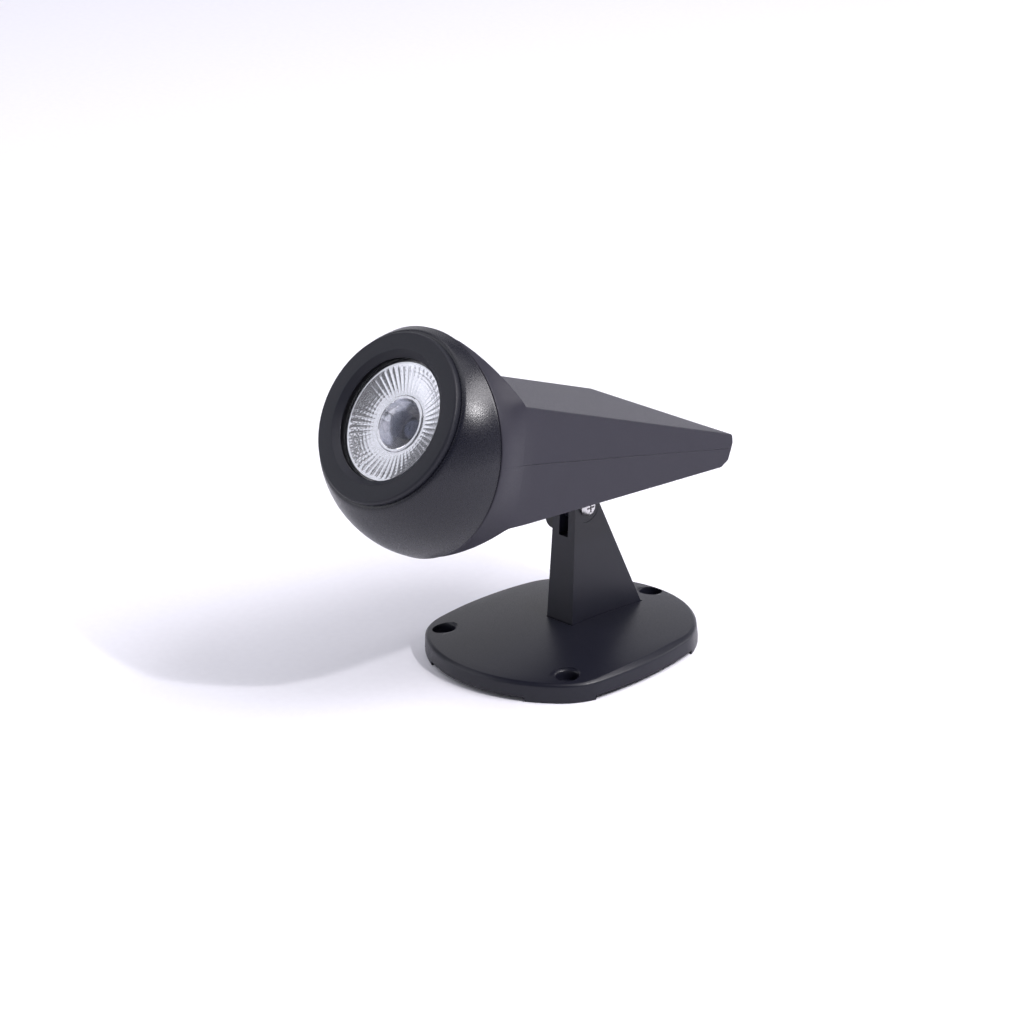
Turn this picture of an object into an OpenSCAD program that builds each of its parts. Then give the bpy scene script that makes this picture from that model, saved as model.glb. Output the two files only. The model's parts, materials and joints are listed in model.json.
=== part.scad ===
// Garden spotlight: a ball-and-wedge lamp head on a tapered stand with a screw-down base.
// World frame: origin on the floor under the stand, +Z up, -Y the side the light leaves, +X the pivot screw's side.
// Head frame: origin at the ball's centre, +Y back along the head's axis, +Z square to it.

/* [Head] */
// Radius of the ball at the front of the head
ball_r = 48.2; // [46:0.1:50]
// Height of the ball's centre above the floor
head_z = 112.9; // [108:0.1:125]
// Distance of the ball's centre in front of the origin
head_front = 82.8; // [75:0.1:90]
// Upward slope of the head's axis, degrees
head_slope = 13.4; // [5:0.1:20]
// Distance of the seam in front of the ball's centre
seam_front = 9.4; // [8:0.1:11]
// Outer radius of the body at the seam
seam_r = 46.8; // [45:0.1:47]
// Gap between the cap and the body, seen as a dark line
seam_gap = 0.6; // [0.4:0.1:1]

/* [Body] */
// Width of the body between its long top edges
wedge_w = 84; // [80:0.5:88]
// Distance of the tail's end behind the ball's centre
tail_s = 130.9; // [120:0.1:140]
// Distance of the flat panels' front edge behind the ball's centre
panel_s = 5.5; // [3:0.1:9]
// Height of the top panel's plane over the ball's centre
top_h = 24.7; // [22:0.1:26]
// Fall of the top panel towards the tail, degrees
top_fall = 8.2; // [6:0.1:9]
// Depth of the underside's plane under the ball's centre
under_h = 27.6; // [25:0.1:29]
// Rise of the underside towards the tail, degrees
under_rise = 8.7; // [7:0.1:9.5]
// Draft of the side walls, millimetres outward for each millimetre towards the parting line
side_draft = 0.05; // [0:0.01:0.08]
// Wall thickness of the head's shells
wall = 2.5; // [2:0.1:3]

/* [Bezel] */
// Tilt of the bezel from the head's axis, degrees
bezel_tilt = 20.7; // [10:0.1:25]
// Distance of the bezel's front face from the ball's centre
bezel_front = 32.8; // [31:0.1:34]
// Outer radius of the bezel
bezel_r = 36.2; // [35:0.1:38]
// Thickness of the bezel
bezel_t = 2.8; // [2:0.1:3.5]
// Radius of the bezel's opening at its front face
bezel_open_r = 28.6; // [27:0.1:30]
// Radius of the bezel's opening at the glass
sight_r = 26; // [25.5:0.1:27]

/* [Lamp] */
// Radius of the reflector lamp's rim
lamp_r = 25.3; // [24.8:0.1:25.4]
// Depth of the reflector
reflector_depth = 20; // [18:0.5:22]
// Radius of the lip round the reflector's inner cup
cup_r = 10.8; // [9:0.1:12]
// Depth of that lip below the lamp's rim
cup_lip = 3; // [2:0.1:6]

/* [Stand] */
// Height of the tilt pivot above the floor
pivot_z = 62.5; // [60:0.1:65]
// Distance of the tilt pivot in front of the origin
pivot_front = 6.5; // [5:0.1:8]
// Radius of the pivot screw's shank
pivot_r = 2; // [1.5:0.1:2.5]
// Width of the stand at its foot
stand_w = 15.4; // [14:0.1:18]
// Width of the stand at the pivot
stand_top_w = 12.8; // [12:0.1:14]
// Width of the fork's slot at the top of the stand
fork_w = 5.2; // [5:0.1:6]
// Height of the bottom of the fork's slot
fork_z = 50; // [45:0.5:52]

/* [Base] */
// Height of the base's top at the middle of its dome
base_top = 12.8; // [11:0.1:14]
// Height of the side walls' upper edge
rim_z = 7.6; // [7:0.1:9]
// Width of the rounded band round the base's top
rim_band = 3; // [2:0.1:4]
// Height of the drain gaps between the feet
foot_h = 2; // [1.5:0.1:3]
// Radius of the screw holes through the base
base_hole_r = 2.4; // [2:0.1:3]
// Radius of the counterbores in the base
base_cbore_r = 4.9; // [4:0.1:5.5]

/* [Hidden] */
$fn = 96;
eps = 0.01;
big = 200;
anthracite = [0.21, 0.21, 0.24];

// ---- frames -------------------------------------------------------------------------------------
module head_frame() translate([0, -head_front, head_z]) rotate([-head_slope, 0, 0]) children();

// Bezel frame: the ball's centre with +Z out along the beam.
module beam_frame() head_frame() rotate([90 - bezel_tilt, 0, 0]) children();

// Revolves a profile of [radius, distance back] about the head's axis.
module lathe_back() rotate([-90, 0, 0]) rotate_extrude() children();

// Underside frame: a point of the underside's plane, +Z into the body, +Y towards the tail.
module underside_at(x, s) translate([x, s, -under(s)]) rotate([under_rise, 0, 0]) children();

module pivot_frame() translate([0, -pivot_front, pivot_z]) rotate([0, 90, 0]) children();

// ---- head's shape -------------------------------------------------------------------------------
function over(s) = top_h - s * tan(top_fall);
function under(s) = under_h - s * tan(under_rise);
function smooth(t) = let (u = min(max(t, 0), 1)) u * u * (3 - 2 * u);

// Radius of the body's skin at angle a from the parting line, s behind the ball's centre: round at
// the seam, flat-sided from blend_s on.
blend_s = 10.6;
shoulder_r = 49;
function flat_r(a, s) = (wedge_w / 2 + side_draft * over(s)) / (abs(cos(a)) + side_draft * abs(sin(a)));
function skin_r(a, s) = let (t = smooth((s + seam_front) / (blend_s + seam_front)))
    (1 - t) * seam_r + t * min(shoulder_r, flat_r(a, s));

body_stations = [-seam_front, -7, -4.5, -2, 0.5, 3, 5.5, 8, blend_s, tail_s + 5];
module skin_loft(inset, steps) {
    rings = len(body_stations);
    points = [for (s = body_stations) for (i = [0:steps - 1]) let (a = 360 * i / steps)
        let (r = skin_r(a, s) - inset) [r * cos(a), s, r * sin(a)]];
    sides = [for (k = [0:rings - 2]) for (i = [0:steps - 1]) let (j = (i + 1) % steps)
        each [[k * steps + i, (k + 1) * steps + j, (k + 1) * steps + i],
              [k * steps + i, k * steps + j, (k + 1) * steps + j]]];
    front = [for (i = [steps - 1:-1:0]) i];
    back = [for (i = [0:steps - 1]) (rings - 1) * steps + i];
    polyhedron(points, concat(sides, [front, back]));
}

// A step runs from the seam's edge to a panel's front edge. Its slope, and where its wall's inner
// face meets the panel's, for a panel h0 from the centre that closes in by fall degrees.
function step_slope(h0, fall) = (seam_r - h0 + panel_s * tan(fall)) / (panel_s + seam_front);
function slant(slope) = sqrt(1 + slope * slope);
function corner_s(h0, fall, inset) = let (m = step_slope(h0, fall))
    (seam_r - m * seam_front - h0 - inset * (slant(m) - slant(tan(fall)))) / (m - tan(fall));
function step_h(h0, fall, inset, s) = let (m = step_slope(h0, fall))
    seam_r - m * (s + seam_front) - inset * slant(m);

// Side view of the head behind the seam, drawn in by inset: the steps behind the ball, the two flat
// panels and the tail.
module side_outline(inset) {
    front = inset - seam_front;
    top_s = corner_s(top_h, top_fall, inset);
    under_s = corner_s(under_h, under_rise, inset);
    tail = tail_s - inset;
    polygon([
        [front, step_h(top_h, top_fall, inset, front)], [top_s, over(top_s) - inset],
        [tail - 0.8, over(tail) - inset], [tail, 2.8 - inset / 2], [tail - 1.3, inset / 2 - 5.4],
        [tail - 4.6, inset - under(tail - 4.6)], [under_s, inset - under(under_s)],
        [front, -step_h(under_h, under_rise, inset, front)]
    ]);
}

// Extrudes a side view of [s, h] points across the head.
module across(w) rotate([90, 0, 90]) translate([0, 0, -w / 2]) linear_extrude(w) children();

module body_solid(inset, steps) intersection() {
    skin_loft(inset, steps);
    across(big) side_outline(inset);
}

module upper_half() translate([-big / 2, -big / 2, 0]) cube([big, 2 * big, big / 2]);

module lower_half() mirror([0, 0, 1]) upper_half();

spigot_r = 32.5;
spigot_play = 0.3;
screw_posts = [[36, 22], [-36, 22], [36, 104], [-36, 104]];
post_r = 4;
shell_hole_r = 1.7;
shell_head_r = 3;

// Hollow body with its front wall, before it is split at the parting line.
module hollow_body() difference() {
    body_solid(0, 72);
    body_solid(wall, 48);
    translate([0, -seam_front - 1, 0]) rotate([-90, 0, 0]) cylinder(r = spigot_r + spigot_play, h = wall + 2);
}

// Screw posts from the parting line into the wall: the lower ones, then the upper ones.
module lower_posts() for (p = screw_posts) translate([p[0], p[1], wall / 2 - under(p[1])])
    cylinder(r = post_r, h = under(p[1]) - wall / 2, $fn = 48);

module upper_posts() for (p = screw_posts) translate([p[0], p[1], 0])
    cylinder(r = post_r - 0.5, h = over(p[1]) - wall / 2, $fn = 48);

gland_s = 112;
gland_hole_r = 6.2;
lug_s = 85.9;

module lower_shell() color(anthracite) head_frame() difference() {
    union() {
        intersection() {
            hollow_body();
            lower_half();
        }
        lower_posts();
        lug_posts();
    }
    for (p = screw_posts) translate([p[0], p[1], -big / 2]) cylinder(r = shell_hole_r, h = big);
    for (p = screw_posts) translate([p[0], p[1], -under(p[1]) - 5]) cylinder(r = shell_head_r + 0.2, h = 5 + wall);
    underside_at(0, gland_s) translate([0, 0, -1]) cylinder(r = gland_hole_r, h = 6);
    for (p = lug_screw_xy) underside_at(p[0], lug_s + p[1]) translate([0, 0, -1]) cylinder(r = 1.25, h = 7);
}

module upper_shell() color(anthracite) head_frame() difference() {
    union() {
        intersection() {
            hollow_body();
            upper_half();
        }
        upper_posts();
    }
    for (p = screw_posts) translate([p[0], p[1], -1]) cylinder(r = 1.3, h = over(p[1]) - wall);
}

// One pan-head screw: head above the seat at z = 0, shank down.
module pan_screw(head_r, head_h, shank_r, length) difference() {
    union() {
        rotate_extrude() polygon([[0, 0], [head_r, 0], [head_r, head_h * 0.45], [head_r * 0.72, head_h * 0.88],
            [head_r * 0.35, head_h], [0, head_h]]);
        translate([0, 0, -length]) cylinder(r = shank_r, h = length + eps);
    }
    for (q = [0, 90]) rotate([0, 0, q]) translate([-head_r * 0.55, -head_r * 0.1, head_h * 0.45])
        cube([head_r * 1.1, head_r * 0.2, head_h]);
}

module shell_screws() color("silver") head_frame() for (p = screw_posts)
    translate([p[0], p[1], -under(p[1]) + wall]) mirror([0, 0, 1])
        pan_screw(shell_head_r, 2, 1.25, under(p[1]) - wall + over(p[1]) * 0.5);

// ---- tilt lug -----------------------------------------------------------------------------------
lug_t = 4;
lug_eye_r = 6.6;
lug_plate = [20, 32, 3];
lug_screw_xy = [[6.5, 12], [-6.5, 12], [6.5, -12], [-6.5, -12]];
fit_play = 0.05;

module lug_posts() for (p = lug_screw_xy) underside_at(p[0], lug_s + p[1]) translate([0, 0, wall / 2])
    cylinder(r = 3.2, h = 6);

// Plate under the body with a flat eye that hangs down to the pivot.
module tilt_lug() color(anthracite) difference() {
    union() {
        head_frame() underside_at(0, lug_s) translate([-lug_plate[0] / 2, -lug_plate[1] / 2, -lug_plate[2]])
            cube(lug_plate);
        intersection() {
            pivot_frame() translate([0, 0, -lug_t / 2]) linear_extrude(lug_t) union() {
                circle(lug_eye_r);
                polygon([[0, -lug_eye_r], [-30, -lug_eye_r - 5], [-30, lug_eye_r + 5], [0, lug_eye_r]]);
            }
            head_frame() underside_at(0, lug_s) translate([-big / 2, -big / 2, -lug_plate[2] - big])
                cube([big, big, big + eps]);
        }
    }
    pivot_frame() cylinder(r = pivot_r + fit_play, h = 20, center = true);
    for (p = lug_screw_xy) head_frame() underside_at(p[0], lug_s + p[1]) translate([0, 0, -10])
        cylinder(r = 1.7, h = 12);
}

module lug_screws() color("silver") head_frame() for (p = lug_screw_xy)
    underside_at(p[0], lug_s + p[1]) translate([0, 0, -lug_plate[2]]) mirror([0, 0, 1])
        pan_screw(2.6, 1.8, 1.25, lug_plate[2] + 6);

// ---- cable entry in the underside ---------------------------------------------------------------
cable_r = 3.2;
gland_out = 4;

module hexagon(across_flats, h) cylinder(r = across_flats / sqrt(3), h = h, $fn = 6);

module cable_gland() color("dimgray") head_frame() underside_at(0, gland_s) difference() {
    union() {
        translate([0, 0, -gland_out]) hexagon(14, gland_out);
        translate([0, 0, -gland_out - 4]) cylinder(r = 5.6, h = 4 + eps);
        cylinder(r = 6, h = wall + 4.5);
    }
    translate([0, 0, -gland_out - 5]) cylinder(r = cable_r, h = 20);
    translate([0, 0, -gland_out - 5]) cylinder(r = 4.6, h = 4.4);
}

module gland_seal() color("black") head_frame() underside_at(0, gland_s) difference() {
    translate([0, 0, -gland_out - 4.5]) cylinder(r = 4.5, h = 3.8);
    translate([0, 0, -gland_out - 6]) cylinder(r = cable_r, h = 8);
}

module gland_cap() color("dimgray") head_frame() underside_at(0, gland_s) difference() {
    translate([0, 0, -gland_out - 7.2]) rotate_extrude() polygon([[0, 0], [4.8, 0], [6.6, 1.6], [7, 3], [7, 7],
        [0, 7]]);
    translate([0, 0, -gland_out - 8]) cylinder(r = cable_r, h = 10);
    translate([0, 0, -gland_out - 4.7]) cylinder(r = 5.7, h = 5);
}

module gland_locknut() color("dimgray") head_frame() underside_at(0, gland_s) translate([0, 0, wall]) difference() {
    hexagon(15, 3);
    translate([0, 0, -1]) cylinder(r = 6.1, h = 5);
}

// ---- supply inside the body ---------------------------------------------------------------------
driver_box = [44, 44, 11];
driver_s = 48;
driver_h = -6.5;

module driver_case() color("darkslategray") head_frame() difference() {
    translate([-driver_box[0] / 2, driver_s, driver_h]) cube(driver_box);
    translate([-driver_box[0] / 2 + 2, driver_s + 2, driver_h + 2])
        cube([driver_box[0] - 4, driver_box[1] - 4, driver_box[2]]);
    for (p = driver_screw_xy) translate([p[0], p[1], driver_h + 4]) cylinder(r = 0.9, h = 10);
}

driver_screw_xy = [[21, driver_s + 1], [-21, driver_s + 1], [21, driver_s + driver_box[1] - 1],
    [-21, driver_s + driver_box[1] - 1]];

module driver_lid() color("lightgray") head_frame() difference() {
    translate([-driver_box[0] / 2, driver_s, driver_h + driver_box[2]]) cube([driver_box[0], driver_box[1], 1.2]);
    for (p = driver_screw_xy) translate([p[0], p[1], driver_h]) cylinder(r = 0.95, h = 20);
}

module driver_screws() color("silver") head_frame() for (p = driver_screw_xy)
    translate([p[0], p[1], driver_h + driver_box[2] + 1.2]) pan_screw(1.7, 1, 0.85, 6);

block_size = [18, 9, 7];
block_at = [12, 96, -8.4];

module terminal_block() color("ivory") head_frame() translate(block_at) difference() {
    cube(block_size);
    for (k = [0:2]) translate([3 + 6 * k, block_size[1] / 2, 3]) cylinder(r = 1.7, h = 10);
}

module terminal_screws() color("silver") head_frame() translate(block_at)
    for (k = [0:2]) translate([3 + 6 * k, block_size[1] / 2, 3]) cylinder(r = 1.6, h = 2.5);

// A wire swept along its route, which runs mostly towards +Y, with one ring of wire_sides points at
// each of its own points.
wire_sides = 10;
module wire(route, r) {
    last = len(route) - 1;
    points = [for (p = route) for (i = [0:wire_sides - 1]) let (a = 360 * i / wire_sides)
        p + [r * cos(a), 0, r * sin(a)]];
    sides = [for (k = [0:last - 1]) for (i = [0:wire_sides - 1]) let (j = (i + 1) % wire_sides)
        each [[k * wire_sides + i, (k + 1) * wire_sides + j, (k + 1) * wire_sides + i],
              [k * wire_sides + i, k * wire_sides + j, (k + 1) * wire_sides + j]]];
    polyhedron(points, concat(sides, [[for (i = [wire_sides - 1:-1:0]) i],
        [for (i = [0:wire_sides - 1]) last * wire_sides + i]]));
}

// Two cores from the driver's tail to the terminal block.
module supply_wires() color("firebrick") head_frame() for (k = [0, 1]) wire([
    [4 + 6 * k, driver_s + driver_box[1] + 0.8, 0],
    [9 + 6 * k, driver_s + driver_box[1] + 2, -2],
    [15 + 6 * k, block_at[1] - 0.9, -5]
], 0.8);

// ---- front cap ----------------------------------------------------------------------------------
cap_wall = 2.8;
cap_face = bezel_front - bezel_t;
glass_t = 2.5;
glass_r = 29.5;
gasket_t = 0.8;
seat_d = cap_face - glass_t - gasket_t;
lip_d = seat_d - 3;
cap_back = seam_front + seam_gap;
screw_ring_r = 32.6;

module behind(s) translate([-big / 2, s, -big / 2]) cube([big, big, big]);

module beyond(d) translate([-big / 2, -big / 2, d]) cube([big, big, big]);

// The ball in front of the seam, hollow, with a turning spigot that enters the body.
module front_cap() color(anthracite) difference() {
    union() {
        difference() {
            head_frame() difference() {
                sphere(ball_r, $fn = 128);
                behind(-cap_back);
            }
            beam_frame() beyond(cap_face);
            difference() {
                head_frame() difference() {
                    sphere(ball_r - cap_wall, $fn = 128);
                    behind(-cap_back - cap_wall);
                }
                beam_frame() beyond(lip_d);
            }
        }
        head_frame() lathe_back() polygon([[spigot_r - 3, -cap_back - cap_wall / 2],
            [spigot_r, -cap_back - cap_wall / 2], [spigot_r, -seam_front + wall + 0.4],
            [spigot_r + 1.6, -seam_front + wall + 0.4], [spigot_r + 1.6, -seam_front + wall + 1.8],
            [spigot_r - 3, -seam_front + wall + 1.8]]);
    }
    head_frame() translate([0, -cap_back - cap_wall - 1, 0]) rotate([-90, 0, 0])
        cylinder(r = spigot_r - 3, h = 20);
    beam_frame() translate([0, 0, -10]) cylinder(r = lamp_r + 0.7, h = 60);
    beam_frame() translate([0, 0, seat_d]) cylinder(r = glass_r + 0.3, h = 20);
    head_frame() lathe_back() polygon([[42.2, -cap_back - 1], [44.2, -cap_back - 1], [44.2, 0], [42.2, 0]]);
    beam_frame() for (a = [30, 150, 270]) rotate([0, 0, a]) translate([screw_ring_r, 0, lip_d - 1])
        cylinder(r = 1.25, h = 20);
}

// Ring in the cap's groove that closes the seam.
module seam_seal() color("black") head_frame() lathe_back() polygon([[42.3, -cap_back - 0.9],
    [44.1, -cap_back - 0.9], [44.1, -seam_front - 0.1], [42.3, -seam_front - 0.1]]);

module bezel_ring() color(anthracite) beam_frame() difference() {
    rotate_extrude() polygon(concat(
        [[sight_r, cap_face], [sight_r, cap_face + 0.6], [bezel_open_r, bezel_front]],
        [for (a = [90:-15:0]) [bezel_r - 1.4 + 1.4 * cos(a), bezel_front - 1.4 + 1.4 * sin(a)]],
        [[bezel_r, cap_face]]));
    for (a = [30, 150, 270]) rotate([0, 0, a]) translate([screw_ring_r, 0, cap_face - 1]) cylinder(r = 1.25, h = 2.4);
}

// Three screws driven from inside the cap into the bezel.
module bezel_screws() color("silver") beam_frame() for (a = [30, 150, 270]) rotate([0, 0, a])
    translate([screw_ring_r, 0, lip_d]) mirror([0, 0, 1]) pan_screw(2.2, 1.5, 1.2, cap_face - lip_d + 1.2);

module front_glass() color([0.85, 0.92, 1, 0.35]) beam_frame() translate([0, 0, seat_d + gasket_t])
    cylinder(r = glass_r, h = glass_t);

module glass_gasket() color("black") beam_frame() translate([0, 0, seat_d]) difference() {
    cylinder(r = glass_r, h = gasket_t);
    translate([0, 0, -1]) cylinder(r = lamp_r + 0.9, h = 3);
}

// ---- reflector lamp -----------------------------------------------------------------------------
rim_d = seat_d + gasket_t - 0.2;
neck_r = 7;
neck_d = rim_d - reflector_depth;
cup_top = rim_d - cup_lip;

// Front face of the reflector as [radius, distance out]: a steep cup, then a shallow dish.
cup_face = [for (k = [0:6]) let (t = k / 6) [neck_r + (cup_r - neck_r) * t * t, neck_d + (cup_top - neck_d) * t]];
dish_face = [for (k = [1:8]) let (t = k / 8) [cup_r + (lamp_r - 1 - cup_r) * t, cup_top + cup_lip * pow(t, 1.3)]];

module reflector() color("whitesmoke") beam_frame() rotate_extrude() polygon(concat(
    cup_face, dish_face, [[lamp_r, rim_d], [lamp_r, rim_d - 1.6]],
    [for (k = [7:-1:0]) [dish_face[k][0] + 0.4, dish_face[k][1] - 1.7]],
    [for (k = [6:-1:0]) [cup_face[k][0] + 1.4, cup_face[k][1] - k * 0.25]]));

module lamp_capsule() color("lightsteelblue") beam_frame() translate([0, 0, neck_d - 4]) union() {
    cylinder(r = 4.2, h = 12);
    translate([0, 0, 12]) sphere(4.2, $fn = 48);
}

module lamp_base() color("ivory") beam_frame() difference() {
    union() {
        translate([0, 0, neck_d - 6]) cylinder(r = neck_r - 0.1, h = 6);
        translate([-7, -4, neck_d - 14]) cube([14, 8, 8.5]);
    }
    translate([0, 0, neck_d - 4]) cylinder(r = 4.3, h = 20);
    for (x = [-2.65, 2.65]) translate([x, 0, neck_d - 15]) cylinder(r = 0.78, h = 5);
}

module lamp_pins() color("silver") beam_frame() for (x = [-2.65, 2.65]) translate([x, 0, neck_d - 20])
    cylinder(r = 0.75, h = 10);

// Spring ring that holds the lamp's rim up against the glass seat.
module lamp_clip() color("silver") beam_frame() rotate_extrude() polygon([[lamp_r - 0.3, rim_d - 3.2],
    [lamp_r + 0.6, rim_d - 3.2], [lamp_r + 0.6, rim_d - 1.7], [lamp_r - 0.3, rim_d - 1.7]]);

module lamp_holder() color("white") beam_frame() difference() {
    translate([-8, -5.5, neck_d - 25]) cube([16, 11, 10.6]);
    for (x = [-2.65, 2.65]) translate([x, 0, neck_d - 21]) cylinder(r = 0.85, h = 10);
}

plug_s = 35;
// Two cores from the holder to a plug on the cap's turning axis.
module lamp_leads() color("white") head_frame() for (x = [-2, 2]) wire([
    [x * 1.4, 19.6, -7.3], [x * 1.4, 25, -6.5], [x, 30, -1], [x, plug_s, 0]
], 0.8);

module lead_plug() color("white") head_frame() translate([-4.5, plug_s + 0.85, -3]) cube([9, 9, 6]);

// ---- stand --------------------------------------------------------------------------------------
stand_foot_z = 9;
stand_front_y = -19;
stand_back_y = 22.8;
stand_top_r = 7;

// Side view [y, z]: a leaning front edge and a sloping back edge, up to the round top.
module stand_side() polygon([[stand_front_y, stand_foot_z],
    [-pivot_front - stand_top_r * 0.94, pivot_z + 1.5], [-pivot_front + stand_top_r * 0.94, pivot_z + 1.5],
    [stand_back_y, stand_foot_z]]);

// Front view [x, z]: sides that draw in towards the top.
module stand_front() polygon([[-stand_w / 2, stand_foot_z], [-stand_top_w / 2, pivot_z],
    [-stand_top_w / 2, pivot_z + 20], [stand_top_w / 2, pivot_z + 20], [stand_top_w / 2, pivot_z],
    [stand_w / 2, stand_foot_z]]);

module stand() color(anthracite) difference() {
    intersection() {
        union() {
            across(big) stand_side();
            pivot_frame() cylinder(r = stand_top_r, h = big, center = true);
        }
        translate([0, big / 2, 0]) rotate([90, 0, 0]) linear_extrude(big) stand_front();
    }
    translate([-fork_w / 2, -big / 2, fork_z]) cube([fork_w, big, big]);
    pivot_frame() cylinder(r = pivot_r + fit_play, h = 40, center = true);
    for (side = [0, 1]) pivot_frame() mirror([0, 0, side]) translate([0, 0, stand_top_w / 2])
        cylinder(r = stand_top_r + eps, h = 5);
    for (y = stand_screw_y) translate([0, y, 0]) cylinder(r = 1.7, h = 26);
}

stand_screw_y = [-10, 13];
module stand_screws() color("silver") for (y = stand_screw_y) translate([0, y, foot_h + 3]) mirror([0, 0, 1])
    pan_screw(3.4, 2.2, 1.65, 20);

screw_seat_x = stand_top_w / 2;
module pivot_screw() color("silver") pivot_frame() translate([0, 0, screw_seat_x])
    pan_screw(3.9, 2.4, pivot_r, 2 * screw_seat_x + 8);

module friction_washers() color("gray") pivot_frame() for (side = [-1, 1])
    translate([0, 0, side * (lug_t / 2 + 0.3)]) difference() {
        cylinder(r = 5.5, h = 0.5, center = true);
        cylinder(r = pivot_r + fit_play, h = 2, center = true);
    }

nut_af = 7;
nut_t = 3.2;
nut_at = screw_seat_x + 3.6;
wing_tip_r = 4;
wing_tip = 14.4 - wing_tip_r;

// Wing nut: a boss and two rounded wings round a steel nut.
module wing_nut() color([0.06, 0.06, 0.07]) pivot_frame() mirror([0, 0, 1]) translate([0, 0, screw_seat_x + 0.2])
    difference() {
        union() {
            cylinder(r1 = 6.2, r2 = 5.2, h = 8);
            for (side = [-1, 1]) scale([side, 1, 1]) translate([0, -1.9, 2.5]) rotate([-90, 0, 0])
                linear_extrude(3.8) union() {
                    polygon([[0, 0], [0, -5.2], [wing_tip, -wing_tip_r - 3.9], [wing_tip, 0]]);
                    translate([wing_tip, -wing_tip_r]) circle(wing_tip_r);
                }
        }
        translate([0, 0, -1]) cylinder(r = pivot_r + fit_play, h = 20);
        translate([0, 0, nut_at - screw_seat_x - 0.3]) hexagon(nut_af + 0.1, 20);
    }

module lock_nut() color("silver") pivot_frame() mirror([0, 0, 1]) translate([0, 0, nut_at]) difference() {
    hexagon(nut_af, nut_t);
    translate([0, 0, -1]) cylinder(r = pivot_r + fit_play, h = 20);
}

// ---- base ---------------------------------------------------------------------------------------
base_front_y = -73.6;
base_back_y = 42;
hole_xy = [[37.2, -50.9], [-37.2, -50.9], [0, 35.8]];
cbore_z = 5.2;
dome_r = 370;
dome_y = -17;

base_front_r = 64;
base_side_r = 144;
base_side_x = 51.3;
base_side_y = -22.6;
base_back_r = 52;
base_corner_r = 26;

// A bulged triangle: three wide arcs and a rounder back, with soft corners.
module base_outline(grow) offset(r = grow + base_corner_r, $fn = 72) offset(delta = -base_corner_r)
    intersection() {
        translate([0, base_front_y + base_front_r]) circle(base_front_r, $fn = 96);
        translate([base_side_x - base_side_r, base_side_y]) circle(base_side_r, $fn = 120);
        translate([base_side_r - base_side_x, base_side_y]) circle(base_side_r, $fn = 120);
        union() {
            translate([0, base_back_y - base_back_r]) circle(base_back_r, $fn = 96);
            translate([-big / 2, base_back_y - base_back_r - big]) square(big);
        }
    }

module base_hull() hull() {
    translate([0, 0, foot_h]) linear_extrude(0.5) base_outline(0);
    translate([0, 0, rim_z - 0.1]) linear_extrude(0.1) base_outline(-0.5);
    translate([0, 0, rim_z + 1.9]) linear_extrude(4) base_outline(-rim_band);
}

// Three feet, two front corners and the whole back, and a pad round the stand's screws.
module foot_areas() union() {
    for (side = [-1, 1]) translate([side * 64, -82]) square([72, 72], center = true);
    translate([0, 63]) square([140, 100], center = true);
    translate([0, 1.5]) offset(4, $fn = 24) square([14, 34], center = true);
}

module base_plate() color(anthracite) difference() {
    union() {
        intersection() {
            base_hull();
            translate([0, dome_y, base_top - dome_r]) sphere(dome_r, $fn = 360);
        }
        linear_extrude(foot_h + eps) intersection() {
            base_outline(0);
            foot_areas();
        }
    }
    for (p = hole_xy) translate([p[0], p[1], -1]) cylinder(r = base_hole_r, h = 20);
    for (p = hole_xy) translate([p[0], p[1], cbore_z]) cylinder(r = base_cbore_r, h = 20);
    translate([-stand_w / 2 - fit_play, stand_front_y - fit_play, stand_foot_z])
        cube([stand_w + 2 * fit_play, stand_back_y - stand_front_y + 2 * fit_play, 20]);
    for (y = stand_screw_y) translate([0, y, -1]) cylinder(r = 1.7, h = 20);
    for (y = stand_screw_y) translate([0, y, -1]) cylinder(r = 3.6, h = foot_h + 4);
}

base_plate();
stand();
stand_screws();
pivot_screw();
wing_nut();
lock_nut();
friction_washers();
tilt_lug();
lug_screws();
lower_shell();
upper_shell();
shell_screws();
cable_gland();
gland_seal();
gland_cap();
gland_locknut();
driver_case();
driver_lid();
driver_screws();
terminal_block();
terminal_screws();
supply_wires();
front_cap();
seam_seal();
bezel_ring();
bezel_screws();
front_glass();
glass_gasket();
reflector();
lamp_capsule();
lamp_base();
lamp_pins();
lamp_clip();
lamp_holder();
lamp_leads();
lead_plug();
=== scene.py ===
import json
import math

import bmesh
import bpy
from mathutils import Matrix, Vector


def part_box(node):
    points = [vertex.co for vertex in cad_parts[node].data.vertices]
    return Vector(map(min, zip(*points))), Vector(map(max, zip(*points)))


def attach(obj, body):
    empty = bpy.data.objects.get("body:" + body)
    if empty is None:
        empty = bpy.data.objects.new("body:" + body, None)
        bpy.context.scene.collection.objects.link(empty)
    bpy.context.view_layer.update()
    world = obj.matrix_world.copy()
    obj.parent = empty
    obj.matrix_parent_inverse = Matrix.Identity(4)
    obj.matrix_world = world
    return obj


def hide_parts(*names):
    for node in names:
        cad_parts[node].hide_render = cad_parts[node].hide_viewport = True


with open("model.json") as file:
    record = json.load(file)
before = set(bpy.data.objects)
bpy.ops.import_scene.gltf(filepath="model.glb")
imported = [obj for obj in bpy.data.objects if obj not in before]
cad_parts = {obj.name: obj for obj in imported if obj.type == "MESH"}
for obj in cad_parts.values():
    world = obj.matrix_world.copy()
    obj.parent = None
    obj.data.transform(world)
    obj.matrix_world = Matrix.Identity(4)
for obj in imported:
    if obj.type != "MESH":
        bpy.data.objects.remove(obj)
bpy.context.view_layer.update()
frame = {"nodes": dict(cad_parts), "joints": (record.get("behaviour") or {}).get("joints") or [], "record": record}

# Garden spotlight: a ball-and-wedge head that tilts on a stand with a screw-down base.
# Lengths in the shape functions are millimetres, and MM turns them into the frame's metres.
MM = 0.001
AXIS_R = 0.01  # least radius of a lathe profile; it leaves a hole 0.02 mm wide along the axis
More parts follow.
